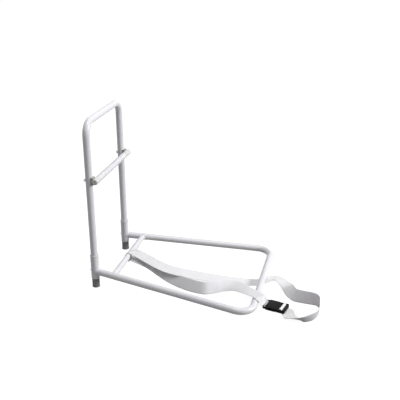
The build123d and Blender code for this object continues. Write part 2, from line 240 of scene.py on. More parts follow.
@dataclass(frozen=True)
class Moulded:
    """Moulded plastic or rubber: a colour that drifts a little, fine grain and dull scuffed patches."""

    name: str
    colour: tuple[float, float, float]
    worn: tuple[float, float, float]
    roughness: float
    grain: float = 1800.0
    grain_depth: float = 0.00006
    gloss: float = 0.5

    def build(self) -> bpy.types.Material:
        """Make the material."""
        shade = Shade(self.name, self.colour, self.roughness)
        shade.shader.inputs["Specular IOR Level"].default_value = self.gloss
        at = shade.place()
        patches = shade.ramp(shade.noise(at, 70.0, 5.0), 0.42, 0.75)
        shade.join(shade.blend(patches, self.colour, self.worn), shade.shader.inputs["Base Color"])
        rough = shade.ramp(patches, 0.0, 1.0, self.roughness, min(self.roughness + 0.18, 1.0))
        shade.join(rough, shade.shader.inputs["Roughness"])
        shade.bump(shade.noise(at, self.grain, 2.0), self.grain_depth, 0.5)
        return shade.material


@dataclass(frozen=True)
class Plated:
    """Plated or bare steel with a drawn grain along one axis."""

    name: str
    colour: tuple[float, float, float]
    roughness: float
    grain_scale: tuple[float, float, float]

    def build(self) -> bpy.types.Material:
        """Make the material."""
        shade = Shade(self.name, self.colour, self.roughness, 1.0)
        lines = shade.noise(shade.place(self.grain_scale), 1.0, 4.0)
        dull = tuple(channel * 0.8 for channel in self.colour)
        shade.join(shade.blend(shade.ramp(lines, 0.35, 0.7), self.colour, dull), shade.shader.inputs["Base Color"])
        shade.join(shade.ramp(lines, 0.3, 0.7, self.roughness - 0.08, self.roughness + 0.12),
                   shade.shader.inputs["Roughness"])
        shade.bump(lines, 0.00004, 0.4)
        return shade.material


@dataclass(frozen=True)
class Woven:
    """White webbing: chevron weave that follows the strap's own map, selvedges, painted shade in the weave's low
    grooves and a faint soiling.
    """

    name: str = "webbing"
    colour: tuple[float, float, float] = (0.90, 0.89, 0.91)
    # groove is painted shade: the colour that the weave's low grooves are darkened towards.
    groove: tuple[float, float, float] = (0.70, 0.68, 0.73)
    half_width: float = WEB_MM / 2 * MM
    chevron: float = 0.0062
    rib: float = 0.0019
    thread: float = 0.0009

    def build(self) -> bpy.types.Material:
        """Make the material."""
        shade = Shade(self.name, self.colour, 0.78)
        shade.shader.inputs["Subsurface Weight"].default_value = 0.5
        shade.shader.inputs["Subsurface Radius"].default_value = (1.0, 0.95, 1.0)
        shade.shader.inputs["Subsurface Scale"].default_value = 0.0025
        shade.shader.inputs["Sheen Weight"].default_value = 0.25
        shade.shader.inputs["Sheen Roughness"].default_value = 0.5
        source = shade.add("ShaderNodeUVMap", uv_map="strap_map")
        parts = shade.add("ShaderNodeSeparateXYZ")
        shade.join(source.outputs[0], parts.inputs[0])
        across, along = parts.outputs["X"], parts.outputs["Y"]
        zigzag = shade.sum("PINGPONG", across, self.chevron)
        turns = shade.sum("MULTIPLY", shade.sum("ADD", along, zigzag), 2 * math.pi / self.rib)
        ribs = shade.ramp(shade.sum("SINE", turns), -1.0, 1.0)
        threads = shade.ramp(shade.sum("SINE", shade.sum("MULTIPLY", across, 2 * math.pi / self.thread)), -1.0, 1.0)
        weave = shade.sum("ADD", shade.sum("MULTIPLY", ribs, 0.7), shade.sum("MULTIPLY", threads, 0.3))
        edge = shade.ramp(shade.sum("ABSOLUTE", across), self.half_width - 0.0022, self.half_width - 0.0012)
        height = shade.sum("MAXIMUM", weave, edge)
        soil = shade.ramp(shade.noise(shade.place(), 26.0, 5.0), 0.5, 0.8, 0.0, 0.25)
        # Painted shade: low parts of the weave are darkened towards the groove colour; the noise adds faint
        # soiling, which is real dirt.
        groove_shade_and_soil = shade.sum("ADD", shade.ramp(height, 0.0, 0.6, 0.45, 0.0), soil)
        shade.join(shade.blend(groove_shade_and_soil, self.colour, self.groove), shade.shader.inputs["Base Color"])
        shade.join(shade.ramp(height, 0.0, 1.0, 0.9, 0.7), shade.shader.inputs["Roughness"])
        shade.bump(height, 0.00035, 0.8)
        return shade.material


class Finish(Enum):
    """The object's finishes, each with the record's material slot that it belongs to."""

    PAINT = ("frame_paint", PowderCoat())
    COLLAR = ("collar_plastic", Moulded("collar_plastic", (0.70, 0.70, 0.71), (0.60, 0.60, 0.61), 0.42))
    RUBBER = ("foot_rubber", Moulded("foot_rubber", (0.21, 0.21, 0.215), (0.28, 0.28, 0.28), 0.62, 900.0, 0.0001))
    BUTTON = ("button_steel", Plated("button_steel", (0.62, 0.62, 0.64), 0.28, (60, 900, 900)))
    SPRING = ("spring_steel", Plated("spring_steel", (0.42, 0.42, 0.44), 0.35, (900, 900, 60)))
    CORE = ("core_steel", Plated("core_steel", (0.60, 0.60, 0.62), 0.34, (900, 40, 900)))
    GRIP = ("grip_foam", Moulded("grip_foam", (0.76, 0.76, 0.79), (0.68, 0.68, 0.71), 0.6, 1300.0, 0.00012))
    CAP = ("cap_plastic", Moulded("cap_plastic", (0.68, 0.68, 0.66), (0.60, 0.60, 0.58), 0.36, 2400.0, 0.00003))
    SADDLE = ("saddle_plastic", Moulded("saddle_plastic", (0.36, 0.35, 0.34), (0.28, 0.28, 0.27), 0.5))
    BOLT = ("bolt_steel", Plated("bolt_steel", (0.58, 0.58, 0.60), 0.3, (500, 500, 500)))
    WEBBING = ("webbing", Woven())
    THREAD = ("webbing", Moulded("stitch_thread", (0.78, 0.77, 0.80), (0.66, 0.65, 0.68), 0.7, 4000.0))
    BUCKLE = ("buckle_plastic", Moulded("buckle_plastic", (0.006, 0.006, 0.007), (0.012, 0.012, 0.012), 0.42,
                                        gloss=0.06))

    def __init__(self, slot: str, maker: object):
        """Keep the slot's name and the finish's maker."""
        self.slot_name = slot
        self.maker = maker

    def material(self) -> bpy.types.Material:
        """The finish's material, made on first use."""
        made = getattr(self.maker, "name", "powder_coat")
        return bpy.data.materials.get(f"look_{made}") or self.maker.build()


# ---- Mesh tools ---------------------------------------------------------------------------------
def finish_mesh(bm: bmesh.types.BMesh, name: str, finish: Finish, body: str, sharp: float = 40.0,
                rides: bool = True) -> bpy.types.Object:
    """Turn a bmesh into a dressed piece that rides on a body.

    Args:
        bm: The mesh, in metres, at its place.
        name: The piece's name.
        finish: Its finish.
        body: The body that it rides on.
        sharp: Edges turned by more than this many degrees stay sharp.
        rides: False for a piece that is blended between bodies instead.

    Returns:
        The new object.
    """
    bmesh.ops.remove_doubles(bm, verts=bm.verts, dist=1e-6)
    bmesh.ops.recalc_face_normals(bm, faces=bm.faces)
    mesh = bpy.data.meshes.new(name)
    bm.to_mesh(mesh)
    bm.free()
    mesh.polygons.foreach_set("use_smooth", [True] * len(mesh.polygons))
    mesh.set_sharp_from_angle(angle=math.radians(sharp))
    piece = bpy.data.objects.new(name, mesh)
    bpy.context.scene.collection.objects.link(piece)
    mesh.materials.append(finish.material())
    if rides:
        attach(piece, body)
    log.info("%s: %d faces, on %s", name, len(mesh.polygons), body)
    return piece


def axis_frame(origin: Vector, axis: Vector) -> Matrix:
    """A place turned to an axis.

    Args:
        origin: The place.
        axis: The direction of its Z axis.

    Returns:
        The matrix of the place.
    """
    return Matrix.Translation(origin) @ axis.to_track_quat("Z", "Y").to_matrix().to_4x4()


def turned(profile: list[tuple[float, float]], origin: Vector, axis: Vector, steps: int = 48) -> bmesh.types.BMesh:
    """Spin a profile of (radius, height) points round an axis.

    Args:
        profile: Points from one pole or rim to the other, in metres.
        origin: The foot of the axis.
        axis: The direction of growing height.
        steps: Faces round the axis.

    Returns:
        The turned mesh, at its place.
    """
    bm = bmesh.new()
    verts = [bm.verts.new((radius, 0, height)) for radius, height in profile]
    edges = [bm.edges.new(pair) for pair in zip(verts, verts[1:])]
    bmesh.ops.spin(bm, geom=verts + edges, cent=(0, 0, 0), axis=(0, 0, 1), angle=2 * math.pi, steps=steps,
                   use_merge=True)
    bmesh.ops.remove_doubles(bm, verts=bm.verts, dist=1e-6)
    bmesh.ops.transform(bm, matrix=axis_frame(origin, axis), verts=bm.verts)
    return bm


def arc(centre: tuple[float, float], radius: float, start: float, end: float,
        steps: int) -> list[tuple[float, float]]:
    """Points on an arc.

    Args:
        centre: The arc's centre.
        radius: Its radius.
        start: Its first angle, in degrees.
        end: Its last angle, in degrees.
        steps: How many pieces it is cut into.

    Returns:
        The points, both ends included.
    """
    angles = [math.radians(start + (end - start) * step / steps) for step in range(steps + 1)]
    return [(centre[0] + radius * math.cos(a), centre[1] + radius * math.sin(a)) for a in angles]


def swept(section: list[tuple[float, float]], frames: list[Matrix], closed: bool) -> bmesh.types.BMesh:
    """Extrude a closed section from frame to frame.

    Args:
        section: Points in a frame's X and Y.
        frames: Places of the section along the route.
        closed: True to join the last place to the first.

    Returns:
        The mesh, with layers that hold each point's X and its distance along the route.
    """
    bm = bmesh.new()
    across = bm.verts.layers.float.new("across")
    along = bm.verts.layers.float.new("along")
    ring = []
    for x, y in section:
        vert = bm.verts.new(frames[0] @ Vector((x, y, 0)))
        vert[across] = x
        ring.append(vert)
    edges = [bm.edges.new((ring[i], ring[(i + 1) % len(ring)])) for i in range(len(ring))]
    first_edges, travelled = edges, 0.0
    places = frames[1:] + ([frames[0]] if closed else [])
    for before, after in zip(frames, places):
        grown = bmesh.ops.extrude_edge_only(bm, edges=edges)["geom"]
        verts = [item for item in grown if isinstance(item, bmesh.types.BMVert)]
        edges = [item for item in grown if isinstance(item, bmesh.types.BMEdge)
                 and all(vert in verts for vert in item.verts)]
        bmesh.ops.transform(bm, matrix=after @ before.inverted(), verts=verts)
        travelled += (after.translation - before.translation).length
        for vert in verts:
            vert[along] = travelled
    if not closed:
        bmesh.ops.holes_fill(bm, edges=first_edges + edges, sides=len(section))
    return bm


def refined(node: str, name: str, finish: Finish, body: str, bevel: float) -> bpy.types.Object:
    """Replace a plain node by a merged copy whose corners are rounded.

    Args:
        node: The node to copy.
        name: The piece's name.
        finish: Its finish.
        body: The body that it rides on.
        bevel: Width of the rounding, in metres.

    Returns:
        The new piece.
    """
    bm = bmesh.new()
    bm.from_mesh(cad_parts[node].data)
    bmesh.ops.remove_doubles(bm, verts=bm.verts, dist=1e-5)
    bmesh.ops.dissolve_limit(bm, angle_limit=math.radians(1.0), verts=bm.verts, edges=bm.edges)
    corners = [edge for edge in bm.edges if len(edge.link_faces) == 2
               and edge.calc_face_angle(0.0) > math.radians(35)]
    bmesh.ops.bevel(bm, geom=corners, offset=bevel, segments=3, profile=0.5, affect="EDGES", clamp_overlap=True,
                    material=-1)
    piece = finish_mesh(bm, name, finish, body)
    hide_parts(node)
    return piece


# ---- Studio -------------------------------------------------------------------------------------
@dataclass
class Studio:
    """Pale floor, soft lamps and the camera."""

    lens_px: float = 688.23
    image_px: float = 400.0
    sensor: float = 36.0
    azimuth: float = 13.805
    elevation: float = 22.098
    roll: float = -0.265
    camera_at: tuple[float, float, float] = (0.8962, -2.2162, 1.2338)
    key_power: float = 530.0
    top_power: float = 112.0
    sky: float = 0.25
    floor_lift: float = 0.95
    floor_size: float = 30.0
    floor_grey: float = 0.24
    key_at: tuple[float, float, float] = (7.6, 0.9, 3.6)
    key_size: float = 2.4
    top_at: tuple[float, float, float] = (0.2, -0.3, 5.0)
    top_size: float = 2.6
    aim_z: float = 0.15

    def camera(self, handle_x: float) -> None:
        """Place the camera.

        Args:
            handle_x: X of the handle's plane, from which the camera's place is measured.
        """
        azimuth, elevation, roll = (math.radians(a) for a in (self.azimuth, self.elevation, self.roll))
        right = Vector((math.cos(azimuth), math.sin(azimuth), 0))
        look = Vector((-math.sin(azimuth) * math.cos(elevation), math.cos(azimuth) * math.cos(elevation),
                       -math.sin(elevation)))
        up = right.cross(look)
        right, up = right * math.cos(roll) + up * math.sin(roll), up * math.cos(roll) - right * math.sin(roll)
        data = bpy.data.cameras.new("camera")
        data.sensor_width = self.sensor
        data.lens = self.sensor * self.lens_px / self.image_px
        camera = bpy.data.objects.new("camera", data)
        turn = Matrix((right, up, -look)).transposed().to_4x4()
        at = Vector(self.camera_at) + Vector((handle_x, 0, 0))
        camera.matrix_world = Matrix.Translation(at) @ turn
        bpy.context.scene.collection.objects.link(camera)
        bpy.context.scene.camera = camera

    def white_rays(self, tree: bpy.types.NodeTree) -> bpy.types.NodeSocket:
        """1 for camera, glossy and transmission rays, 0 for the rest."""
        path = tree.nodes.new("ShaderNodeLightPath")
        first = tree.nodes.new("ShaderNodeMath")
        first.operation = "MAXIMUM"
        tree.links.new(path.outputs["Is Camera Ray"], first.inputs[0])
        tree.links.new(path.outputs["Is Glossy Ray"], first.inputs[1])
        second = tree.nodes.new("ShaderNodeMath")
        second.operation = "MAXIMUM"
        tree.links.new(first.outputs[0], second.inputs[0])
        tree.links.new(path.outputs["Is Transmission Ray"], second.inputs[1])
        return second.outputs[0]

    def world(self) -> None:
        """White to the eye and to reflections, a softer grey as light."""
        world = bpy.data.worlds.new("studio")
        world.use_nodes = True
        tree = world.node_tree
        sky = tree.nodes["Background"]
        sky.inputs["Color"].default_value = (1, 1, 1, 1)
        strength = tree.nodes.new("ShaderNodeMapRange")
        strength.inputs["To Min"].default_value = self.sky
        strength.inputs["To Max"].default_value = 1.0
        tree.links.new(self.white_rays(tree), strength.inputs["Value"])
        tree.links.new(strength.outputs[0], sky.inputs["Strength"])
        bpy.context.scene.world = world

    def floor(self) -> None:
        """A wide pale floor that shows white and keeps a soft shadow."""
        bm = bmesh.new()
        bmesh.ops.create_grid(bm, x_segments=1, y_segments=1, size=self.floor_size / 2)
        mesh = bpy.data.meshes.new("floor")
        bm.to_mesh(mesh)
        bm.free()
        floor = bpy.data.objects.new("floor", mesh)
        bpy.context.scene.collection.objects.link(floor)
        shade = Shade("floor", (self.floor_grey,) * 3, 0.9)
        shade.shader.inputs["Specular IOR Level"].default_value = 0.0
        shade.shader.inputs["Emission Color"].default_value = (1, 1, 1, 1)
        lift = shade.sum("MULTIPLY", self.white_rays(shade.tree), self.floor_lift)
        shade.join(lift, shade.shader.inputs["Emission Strength"])
        mesh.materials.append(shade.material)

    def lamp(self, name: str, at: tuple[float, float, float], size: float, power: float) -> None:
        """A square lamp turned towards the object.

        Args:
            name: The lamp's name.
            at: Its middle.
            size: Its side, in metres.
            power: Its power, in watts.
        """
        data = bpy.data.lights.new(name, "AREA")
        data.size = size
        data.energy = power
        lamp = bpy.data.objects.new(name, data)
        place = Vector(at)
        lamp.matrix_world = axis_frame(place, place - Vector((0, 0, self.aim_z)))
        bpy.context.scene.collection.objects.link(lamp)

    def build(self, handle_x: float) -> None:
        """Make the whole studio."""
        self.camera(handle_x)
        self.world()
        self.floor()
        self.lamp("key", self.key_at, self.key_size, self.key_power)
        self.lamp("top", self.top_at, self.top_size, self.top_power)
        bpy.context.scene.view_settings.view_transform = "Standard"


# ---- Painted steel frame ------------------------------------------------------------------------
@dataclass
class SteelFrame:
    """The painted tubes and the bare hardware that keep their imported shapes, and the weld beads."""

    bead_r: float = 2.0 * MM
    bead_steps: int = 96
    ripple: float = 0.22
    ripples: int = 30
    kept: tuple[tuple[str, Finish], ...] = (
        ("handle_frame", Finish.PAINT),
        ("base_frame", Finish.PAINT),
        ("crossbar", Finish.PAINT),
        ("sleeve_near", Finish.PAINT),
        ("sleeve_far", Finish.PAINT),
        ("grab_bar_core", Finish.CORE),
        ("grab_bolts", Finish.BOLT),
        ("snap_spring_near", Finish.SPRING),
        ("snap_spring_far", Finish.SPRING),
    )

    def dress(self) -> None:
        """Give each kept node its finish."""
        for node, finish in self.kept:
            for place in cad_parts[node].material_slots:
                place.material = finish.material()
            log.info("%s: kept, %s", node, finish.slot_name)

    def bead(self, name: str, points: list[Vector], centre: Vector) -> None:
        """A closed weld bead along points that go round a centre.

        Args:
            name: The piece's name.
            points: The seam's points.
            centre: The middle of the seam, which the bead's frames face.
        """
        section = arc((0, 0), self.bead_r, 0, 315, 7)
        frames = []
        for index, point in enumerate(points):
            ahead = points[(index + 1) % len(points)] - points[index - 1]
            out = (point - centre).normalized()
            side = ahead.cross(out).normalized()
            up = side.cross(ahead).normalized()
            swell = 1 + self.ripple * math.sin(2 * math.pi * self.ripples * index / len(points))
            turn = Matrix((side * swell, up * swell, ahead.normalized())).transposed().to_4x4()
            frames.append(Matrix.Translation(point) @ turn)
        finish_mesh(swept(section, frames, True), name, Finish.PAINT, "root", 80.0)

    def seam(self, start: Vector, along: Vector, radius: float, post: Vector, post_axis: Vector,
             post_r: float) -> list[Vector]:
        """Points where a tube's outside meets a post's outside.

        Args:
            start: A point on the tube's axis.
            along: The tube's direction away from the post.
            radius: The tube's outer radius.
            post: A point on the post's axis.
            post_axis: The post's direction.
            post_r: The post's outer radius.

        Returns:
            The seam's points, in order round the tube.
        """
        along, post_axis = along.normalized(), post_axis.normalized()
        side = along.cross(post_axis).normalized()
        up = side.cross(along)
        points = []
        for step in range(self.bead_steps):
            angle = 2 * math.pi * step / self.bead_steps
            base = start + (side * math.cos(angle) + up * math.sin(angle)) * radius
            gap = base - post - post_axis * (base - post).dot(post_axis)
            run = along - post_axis * along.dot(post_axis)
            a, b, c = run.dot(run), gap.dot(run), gap.dot(gap) - post_r**2
            travel = (-b + math.sqrt(max(b * b - a * c, 0.0))) / a
            points.append(base + along * travel)
        return points

    def build(self) -> None:
        """Dress the kept nodes and lay the beads."""
        self.dress()
        sleeve_r = (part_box("sleeve_near")[1][0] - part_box("sleeve_near")[0][0]) / 2
        cross_low, cross_high = (Vector(corner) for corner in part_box("crossbar"))
        cross_mid = (cross_low + cross_high) / 2
        cross_r = (cross_high.x - cross_low.x) / 2
        for name, side in (("near", -1), ("far", 1)):
            post_low, post_high = (Vector(corner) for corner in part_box(f"sleeve_{name}"))
            post = (post_low + post_high) / 2
            start = Vector((post.x, post.y, RAIL.axis_z))
            end = Vector((post.x + RAIL.length, side * RAIL.half_end, RAIL.end_z))
            points = self.seam(start, end - start, RAIL.tube_r, post, Vector((0, 0, 1)), sleeve_r)
            self.bead(f"weld_rail_{name}", points, sum(points, Vector()) / len(points))
            along = Vector((0, -side, 0))
            points = self.seam(cross_mid, along, cross_r, start, end - start, RAIL.tube_r)
            self.bead(f"weld_crossbar_{name}", points, sum(points, Vector()) / len(points))


@dataclass(frozen=True)
class Rail:
    """Where a base rail runs, measured from the handle's plane."""

    tube_r: float = 12.7 * MM
    axis_z: float = 62.0 * MM
    end_z: float = 15.1 * MM
    length: float = 586.0 * MM
    half_end: float = 253.0 * MM


RAIL = Rail()


# ---- Sockets ------------------------------------------------------------------------------------
@dataclass
class Socket:
    """One leg's small parts: collar, rubber foot and snap button."""

    name: str
    lip: float = 0.6 * MM
    ribs: int = 4
    spigot_r: float = 12.95 * MM

    def collar(self) -> None:
        """A moulded ring with a rolled lip on the sleeve's mouth."""
        low, high = (Vector(corner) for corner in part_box(f"sleeve_collar_{self.name}"))
        radius, height = (high.x - low.x) / 2, high.z - low.z
        bore = radius - 2.0 * MM
        round_r = 1.1 * MM
        profile = [(bore, 0.0), (radius, 0.0), (radius, height * 0.35), (radius + self.lip, height * 0.45)]
        profile += arc((radius + self.lip - round_r, height - round_r), round_r, 0, 90, 5)
        profile += [(bore + round_r, height)] + arc((bore + round_r, height - round_r), round_r, 90, 180, 4)[1:]
        profile += [(bore, 0.0)]
        centre = Vector(((low.x + high.x) / 2, (low.y + high.y) / 2, low.z))
        bm = turned(profile, centre, Vector((0, 0, 1)), 64)
        piece = finish_mesh(bm, f"collar_{self.name}", Finish.COLLAR, "root")
        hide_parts(f"sleeve_collar_{self.name}")

    def foot(self) -> None:
        """A ribbed rubber foot with a flared tread."""
        low, high = (Vector(corner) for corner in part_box(f"foot_cap_{self.name}"))
        sleeve_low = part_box(f"sleeve_{self.name}")[0][2]
        flange_r = (high.x - low.x) / 2
        body_r, spigot_r = flange_r - 0.8 * MM, self.spigot_r
        profile = [(0.0, 1.2 * MM), (flange_r - 6 * MM, 1.2 * MM), (flange_r - 6.8 * MM, 0.0)]
        profile += arc((flange_r - 1.0 * MM, 1.0 * MM), 1.0 * MM, -90, 30, 5)
        profile += [(body_r, 3.6 * MM)]
        step = (sleeve_low - 8.0 * MM) / self.ribs
        for rib in range(self.ribs):
            base = 5.0 * MM + rib * step
            profile += [(body_r, base), (body_r - 0.5 * MM, base + 0.5 * MM), (body_r - 0.5 * MM, base + 1.3 * MM),
                        (body_r, base + 1.8 * MM)]
        profile += [(body_r, sleeve_low - 0.6 * MM), (body_r - 0.6 * MM, sleeve_low - 0.05 * MM),
                    (spigot_r, sleeve_low - 0.05 * MM), (spigot_r, high.z - 1.0 * MM),
                    (spigot_r - 1.0 * MM, high.z), (0.0, high.z)]
        centre = Vector(((low.x + high.x) / 2, (low.y + high.y) / 2, 0))
        bm = turned(profile, centre, Vector((0, 0, 1)), 64)
        piece = finish_mesh(bm, f"foot_{self.name}", Finish.RUBBER, "root")
        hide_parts(f"foot_cap_{self.name}")

    def button(self) -> None:
        """A domed steel snap button with a shoulder inside the leg."""
        low, high = (Vector(corner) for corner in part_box(f"snap_button_{self.name}"))
        pin_r, head_r = 3.6 * MM, (high.y - low.y) / 2
        length = high.x - low.x
        dome = 1.6 * MM
        profile = [(0.0, 0.0), (head_r - 0.3 * MM, 0.0), (head_r, 0.3 * MM), (head_r, 1.3 * MM),
                   (head_r - 0.3 * MM, 1.6 * MM), (pin_r, 1.6 * MM), (pin_r, length - 2.2 * MM)]
        profile += arc((pin_r - dome, length - 2.2 * MM), dome, 0, 62, 6)[1:]
        profile += [(0.9 * MM, length - 0.15 * MM), (0.0, length)]
        origin = Vector((high.x, (low.y + high.y) / 2, (low.z + high.z) / 2))
        bm = turned(profile, origin, Vector((-1, 0, 0)), 40)
        piece = finish_mesh(bm, f"button_{self.name}", Finish.BUTTON, f"button_{self.name}")
        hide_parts(f"snap_button_{self.name}")

    def build(self) -> None:
        """Make the socket's parts."""
        self.collar()
        self.foot()
        self.button()


# ---- Grab bar -----------------------------------------------------------------------------------
@dataclass
class GrabBar:
    """The cross grip in front of the legs."""

    rib_pitch: float = 9.0 * MM
    rib_depth: float = 0.9 * MM
    rib_width: float = 2.2 * MM
    plain_end: float = 26.0 * MM
    cap_round: float = 5.0 * MM

    def grip(self) -> None:
        """The ribbed soft grip."""
        low, high = (Vector(corner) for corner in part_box("grab_bar_grip"))
        radius, length = (high.z - low.z) / 2, high.y - low.y
        bore = radius - 1.6 * MM
        profile = [(bore, 0.0), (radius - 0.5 * MM, 0.0), (radius, 0.6 * MM)]
        place = self.plain_end
        while place < length - self.plain_end:
            profile += [(radius, place), (radius - self.rib_depth, place + self.rib_width * 0.3),
                        (radius - self.rib_depth, place + self.rib_width * 0.7), (radius, place + self.rib_width)]
            place += self.rib_pitch
        profile += [(radius, length - 0.6 * MM), (radius - 0.5 * MM, length), (bore, length), (bore, 0.0)]
        origin = Vector(((low.x + high.x) / 2, low.y, (low.z + high.z) / 2))
        piece = finish_mesh(turned(profile, origin, Vector((0, 1, 0)), 56), "grip", Finish.GRIP, "handle")
        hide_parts("grab_bar_grip")

    def cap(self, name: str, side: int) -> None:
        """A moulded end cap with a rounded end, a parting groove and a shallow end dish.

        Args:
            name: near or far.
            side: -1 for the near end, 1 for the far end.
        """
        low, high = (Vector(corner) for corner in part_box(f"grab_bar_cap_{name}"))
        radius, length = (high.z - low.z) / 2, high.y - low.y
        bore = radius - 1.6 * MM
        turn = self.cap_round
        profile = [(bore, length - 4 * MM), (bore, 0.0), (radius - 0.4 * MM, 0.0), (radius, 0.4 * MM),
                   (radius, 3.0 * MM), (radius - 0.4 * MM, 3.3 * MM), (radius - 0.4 * MM, 3.9 * MM),
                   (radius, 4.2 * MM)]
        profile += arc((radius - turn, length - turn), turn, 0, 90, 8)
        profile += [(radius * 0.45, length), (radius * 0.38, length - 0.8 * MM), (0.0, length - 1.0 * MM)]
        profile = [(0.0, length - 4 * MM)] + profile
        end = low.y if side > 0 else high.y
        origin = Vector(((low.x + high.x) / 2, end, (low.z + high.z) / 2))
        bm = turned(profile, origin, Vector((0, side, 0)), 56)
        piece = finish_mesh(bm, f"grab_cap_{name}", Finish.CAP, "handle")
        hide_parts(f"grab_bar_cap_{name}")

    def build(self) -> None:
        """Make the grab bar's moulded parts."""
        self.grip()
        for name, side in (("near", -1), ("far", 1)):
            self.cap(name, side)
            refined(f"grab_saddle_{name}", f"saddle_{name}", Finish.SADDLE, "handle", 0.7 * MM)
        refined("grab_nuts", "cap_nuts", Finish.BOLT, "handle", 0.35 * MM)


# ---- Webbing ------------------------------------------------------------------------------------
@dataclass(frozen=True)
class Stop:
    """One place on a strap's inner or lower edge, in millimetres from the handle's plane."""

    x: float
    y: float
    z: float
    heading: float
    roll: float = 0.0


@dataclass
class Strap:
    """A length of webbing whose lower edge follows its stops."""

    name: str
    stops: list[Stop]
    width: float = WEB_MM * MM
    thickness: float = 1.8 * MM
    pitch: float = 3.0 * MM
    ease_rounds: int = 4

    def value(self, field: str, span: int, share: float) -> float:
        """A field between two stops, on a smooth curve through them all.

        Args:
            field: The field's name.
            span: Index of the stop before.
            share: 0 at that stop, 1 at the next.

        Returns:
            The field's value there.
        """
        last = len(self.stops) - 1
        near = [getattr(self.stops[min(max(span + step, 0), last)], field) for step in (-1, 0, 1, 2)]
        before, start, end, after = near
        leave, arrive = (end - before) / 2, (after - start) / 2
        square, cube = share**2, share**3
        return ((2 * cube - 3 * square + 1) * start + (cube - 2 * square + share) * leave
                + (3 * square - 2 * cube) * end + (cube - square) * arrive)

    def frames(self, handle_x: float) -> list[Matrix]:
        """Places along the strap's middle.

        Args:
            handle_x: X of the handle's plane, from which the stops are measured.

        Returns:
            Frames with X across the strap, Y out of its face and Z along it.
        """
        samples = []
        for span in range(len(self.stops) - 1):
            here, there = self.stops[span], self.stops[span + 1]
            run = math.dist((here.x, here.y, here.z), (there.x, there.y, there.z)) * MM
            count = max(2, round(run / self.pitch))
            samples += [(span, step / count) for step in range(count)]
        samples.append((len(self.stops) - 2, 1.0))
        edges, sides = [], []
        for span, share in samples:
            x, y, z, heading, roll = (self.value(key, span, share) for key in ("x", "y", "z", "heading", "roll"))
            turn, tilt = math.radians(heading), math.radians(roll)
            edges.append(Vector((x * MM + handle_x, y * MM, z * MM)))
            level = math.cos(tilt)
            sides.append(Vector((-math.sin(turn) * level, math.cos(turn) * level, math.sin(tilt))))
        middles = [edge + side * self.width / 2 for edge, side in zip(edges, sides)]
        for _ in range(self.ease_rounds):
            eased = [(a + b * 2 + c).normalized() for a, b, c in zip(sides, sides[1:], sides[2:])]
            sides = [sides[0], *eased, sides[-1]]
        frames = []
        for index, (point, side) in enumerate(zip(middles, sides)):
            ahead = (middles[min(index + 1, len(middles) - 1)] - middles[max(index - 1, 0)]).normalized()
            side = (side - ahead * side.dot(ahead)).normalized()
            face = ahead.cross(side)
            frames.append(Matrix.Translation(point) @ Matrix((side, face, ahead)).transposed().to_4x4())
        return frames

    def section(self) -> list[tuple[float, float]]:
        """The webbing's rounded outline, with points across both faces."""
        half, skin, edge = self.width / 2, self.thickness / 2, self.thickness * 0.45
        inner = half - edge
        count = 10
        top = [(inner - 2 * inner * step / count, skin) for step in range(count + 1)]
        left = [(-half + edge * 0.3, skin * 0.6), (-half, 0.0), (-half + edge * 0.3, -skin * 0.6)]
        bottom = [(-x, -y) for x, y in top]
        right = [(-x, -y) for x, y in left]
        return top + left + bottom + right

    def length(self, frames: list[Matrix]) -> float:
        """The strap's length along its middle."""
        return sum((b.translation - a.translation).length for a, b in zip(frames, frames[1:]))

    def mesh(self, frames: list[Matrix]) -> bmesh.types.BMesh:
        """The webbing's mesh, with its own map in metres across and along it."""
        bm = swept(self.section(), frames, False)
        across, along = bm.verts.layers.float["across"], bm.verts.layers.float["along"]
        strap_map = bm.loops.layers.uv.new("strap_map")
        for face in bm.faces:
            for loop in face.loops:
                loop[strap_map].uv = (loop.vert[across], loop.vert[along])
        return bm


@dataclass
class Stitching:
    """Short raised stitches laid on a strap's upper face."""

    pitch: float = 3.2 * MM
    stitch: float = 2.4 * MM
    thread: float = 0.8 * MM
    lift: float = 1.0 * MM

    def line(self, bm: bmesh.types.BMesh, place: Matrix, start: tuple[float, float],
             end: tuple[float, float]) -> None:
        """Lay one row of stitches.

        Args:
            bm: The mesh that the stitches join.
            place: The strap's frame at the pattern's middle, X across, Y out and Z along.
            start: Where the row starts, across and along.
            end: Where it ends.
        """
        row = Vector((end[0] - start[0], 0, end[1] - start[1]))
        count = max(1, round(row.length / self.pitch))
        turn = row.to_track_quat("X", "Y").to_matrix().to_4x4()
        for step in range(count):
            share = (step + 0.5) / count
            middle = Vector((start[0], self.lift, start[1])) + row * share
            shape = Matrix.Diagonal((self.stitch / 2, self.thread / 2, self.thread / 2, 1))
            bmesh.ops.create_uvsphere(bm, u_segments=6, v_segments=4, radius=1.0,
                                      matrix=place @ Matrix.Translation(middle) @ turn @ shape)

    def box(self, bm: bmesh.types.BMesh, place: Matrix, width: float, length: float) -> None:
        """A crossed box of stitches."""
        w, h = width / 2, length / 2
        corners = [(-w, -h), (w, -h), (w, h), (-w, h)]
        for index in range(4):
            self.line(bm, place, corners[index], corners[(index + 1) % 4])
        self.line(bm, place, corners[0], corners[2])
        self.line(bm, place, corners[1], corners[3])


